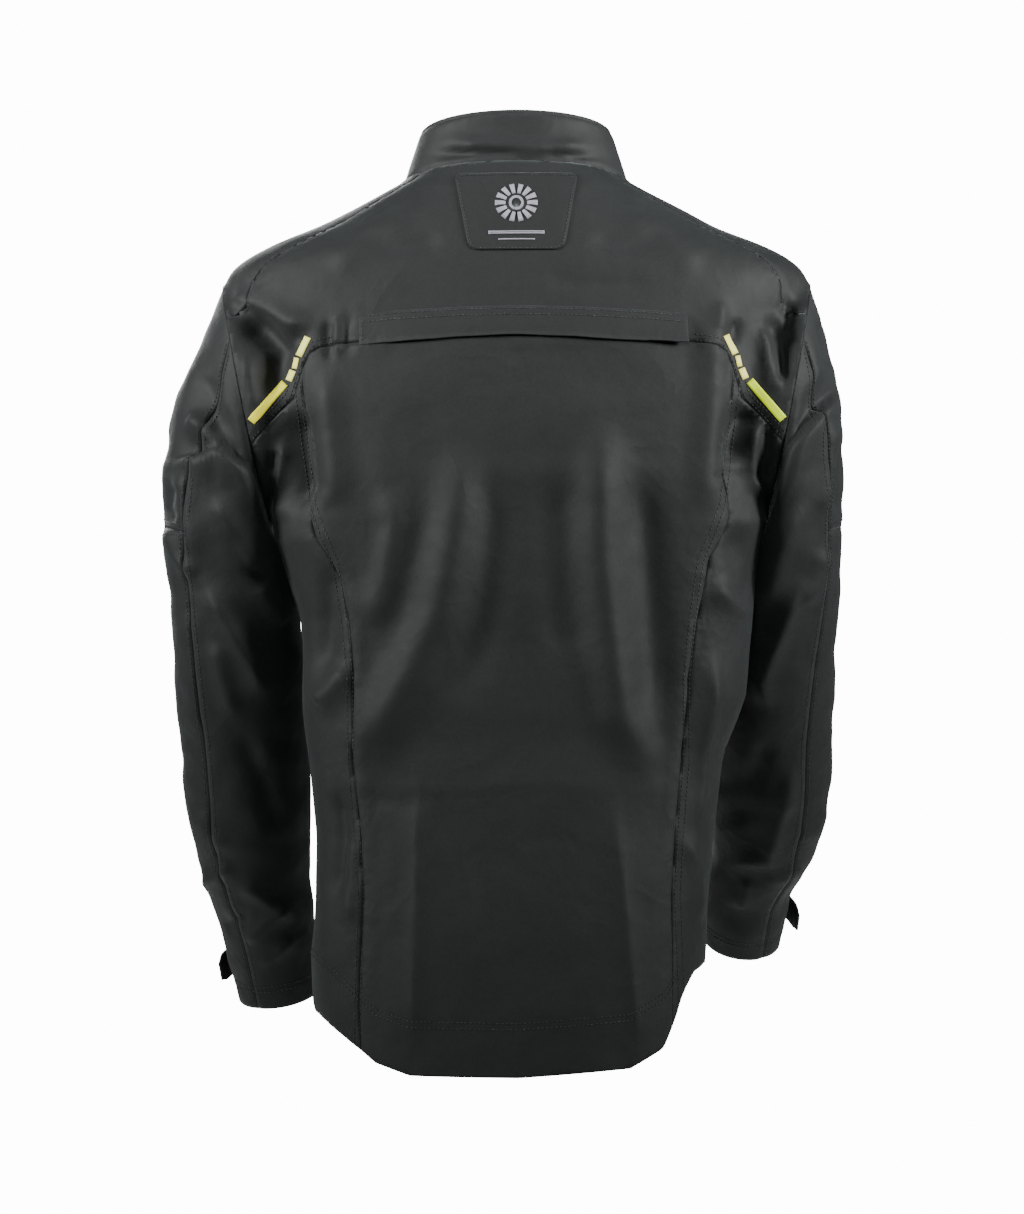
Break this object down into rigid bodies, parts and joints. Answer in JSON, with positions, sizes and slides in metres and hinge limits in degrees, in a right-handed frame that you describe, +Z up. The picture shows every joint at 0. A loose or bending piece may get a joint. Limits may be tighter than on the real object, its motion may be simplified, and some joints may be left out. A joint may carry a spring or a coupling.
{
  "type": "turnout coat",
  "caption": "Hip-length dark shell coat with stand-up collar, curved sleeves, full front zip, pocket zips, cuff tabs and reflective shoulder flashes.",
  "frame": {"origin": "centre of the neck opening at the height of the back collar seam", "axes": "+Z up along the wearer's spine, -Y the way the wearer faces, +X the wearer's left"},
  "size_m": [0.5791, 0.3485, 0.7942],
  "materials": {
    "shell_fabric": "satin weave",
    "lining_fabric": "matt knit",
    "facing_fabric": "matt",
    "tape_fabric": "woven tape",
    "zip_plastic": "moulded teeth",
    "slider_metal": "black lacquer",
    "puller_rubber": "matt moulded",
    "reflective_film": "retroreflective film"
  },
  "bodies": {
    "torso": {"back_panel": "shell_fabric", "back_yoke": "shell_fabric", "yoke_flap": "shell_fabric", "badge_patch": "shell_fabric", "side_panel_left": "shell_fabric", "side_panel_right": "shell_fabric", "shoulder_panel_left": "shell_fabric", "shoulder_panel_right": "shell_fabric", "front_panel_left": "shell_fabric", "front_panel_right": "shell_fabric", "collar_outer": "shell_fabric", "collar_lining": "lining_fabric", "lining_back": "lining_fabric", "lining_front_left": "lining_fabric", "lining_front_right": "lining_fabric", "hem_facing_back": "facing_fabric", "hem_facing_front_left": "facing_fabric", "hem_facing_front_right": "facing_fabric", "pocket_bag_left": "lining_fabric", "pocket_bag_right": "lining_fabric", "pocket_left_zip": "zip_plastic", "pocket_right_zip": "zip_plastic", "chest_zip": "zip_plastic", "main_chain_left": "zip_plastic", "main_chain_right": "zip_plastic", "main_tape_left": "tape_fabric", "main_tape_right": "tape_fabric", "wind_placket": "facing_fabric", "chin_guard": "facing_fabric", "reflective_stripe_left_1": "reflective_film", "reflective_stripe_left_2": "reflective_film", "reflective_stripe_left_3": "reflective_film", "reflective_stripe_left_4": "reflective_film", "reflective_stripe_right_1": "reflective_film", "reflective_stripe_right_2": "reflective_film", "reflective_stripe_right_3": "reflective_film", "reflective_stripe_right_4": "reflective_film"},
    "sleeve_left": {"sleeve_left_upper": "shell_fabric", "sleeve_left_forearm": "shell_fabric", "sleeve_left_under": "shell_fabric", "sleeve_left_lining": "lining_fabric", "cuff_left_facing": "facing_fabric"},
    "sleeve_right": {"sleeve_right_upper": "shell_fabric", "sleeve_right_forearm": "shell_fabric", "sleeve_right_under": "shell_fabric", "sleeve_right_lining": "lining_fabric", "cuff_right_facing": "facing_fabric"},
    "cuff_tab_left": {"cuff_tab_left": "puller_rubber"},
    "cuff_tab_right": {"cuff_tab_right": "puller_rubber"},
    "main_slider": {"main_slider": "slider_metal"},
    "main_puller": {"main_puller": "puller_rubber"},
    "pocket_left_slider": {"pocket_left_slider": "slider_metal"},
    "pocket_left_puller": {"pocket_left_puller": "puller_rubber"},
    "pocket_right_slider": {"pocket_right_slider": "slider_metal"},
    "pocket_right_puller": {"pocket_right_puller": "puller_rubber"},
    "chest_slider": {"chest_slider": "slider_metal"},
    "chest_puller": {"chest_puller": "puller_rubber"},
    "hang_loop": {"hang_loop": "tape_fabric"}
  },
  "joints": [
    {"name": "main_zip_slide", "type": "slide", "parent": "torso", "child": "main_slider", "axis": [0, -0.0678, -0.9977], "range_m": [0, 0.715]},
    {"name": "main_puller_flip", "type": "hinge", "parent": "main_slider", "child": "main_puller", "pos_m": [0, -0.08666, -0.005], "axis": [-1, 0, 0], "range_deg": [0, 150]},
    {"name": "pocket_left_zip_slide", "type": "slide", "parent": "torso", "child": "pocket_left_slider", "axis": [0.1934, 0.0514, -0.9798], "range_m": [0, 0.143]},
    {"name": "pocket_left_puller_flip", "type": "hinge", "parent": "pocket_left_slider", "child": "pocket_left_puller", "pos_m": [0.09627, -0.09601, -0.50221], "axis": [-0.8179, -0.543, -0.1899], "range_deg": [0, 150]},
    {"name": "pocket_right_zip_slide", "type": "slide", "parent": "torso", "child": "pocket_right_slider", "axis": [-0.1934, 0.0514, -0.9798], "range_m": [0, 0.143]},
    {"name": "pocket_right_puller_flip", "type": "hinge", "parent": "pocket_right_slider", "child": "pocket_right_puller", "pos_m": [-0.09627, -0.09601, -0.50221], "axis": [-0.8179, 0.543, 0.1899], "range_deg": [0, 150]},
    {"name": "chest_zip_slide", "type": "slide", "parent": "torso", "child": "chest_slider", "axis": [0.0499, -0.0004, -0.9988], "range_m": [0, 0.108]},
    {"name": "chest_puller_flip", "type": "hinge", "parent": "chest_slider", "child": "chest_puller", "pos_m": [0.07969, -0.09321, -0.21862], "axis": [-0.9668, -0.251, -0.0482], "range_deg": [0, 150]},
    {"name": "cuff_tab_left_open", "type": "hinge", "parent": "sleeve_left", "child": "cuff_tab_left", "pos_m": [0.22346, -0.15415, -0.66941], "axis": [-0.1381, -0.2761, -0.9511], "range_deg": [0, 120]},
    {"name": "cuff_tab_right_open", "type": "hinge", "parent": "sleeve_right", "child": "cuff_tab_right", "pos_m": [-0.21305, -0.21965, -0.62663], "axis": [-0.0654, 0.523, 0.8498], "range_deg": [0, 120]},
    {"name": "sleeve_left_swing", "type": "hinge", "parent": "torso", "child": "sleeve_left", "pos_m": [0.2272, 0, -0.201], "axis": [-0.9796, 0, 0.2011], "range_deg": [-20, 45]},
    {"name": "sleeve_right_swing", "type": "hinge", "parent": "torso", "child": "sleeve_right", "pos_m": [-0.2272, 0, -0.201], "axis": [-0.9796, 0, -0.2011], "range_deg": [-3, 45]},
    {"name": "hang_loop_flip", "type": "hinge", "parent": "torso", "child": "hang_loop", "pos_m": [0, 0.055, -0.005], "axis": [-1, 0, 0], "range_deg": [0, 150]}
  ]
}
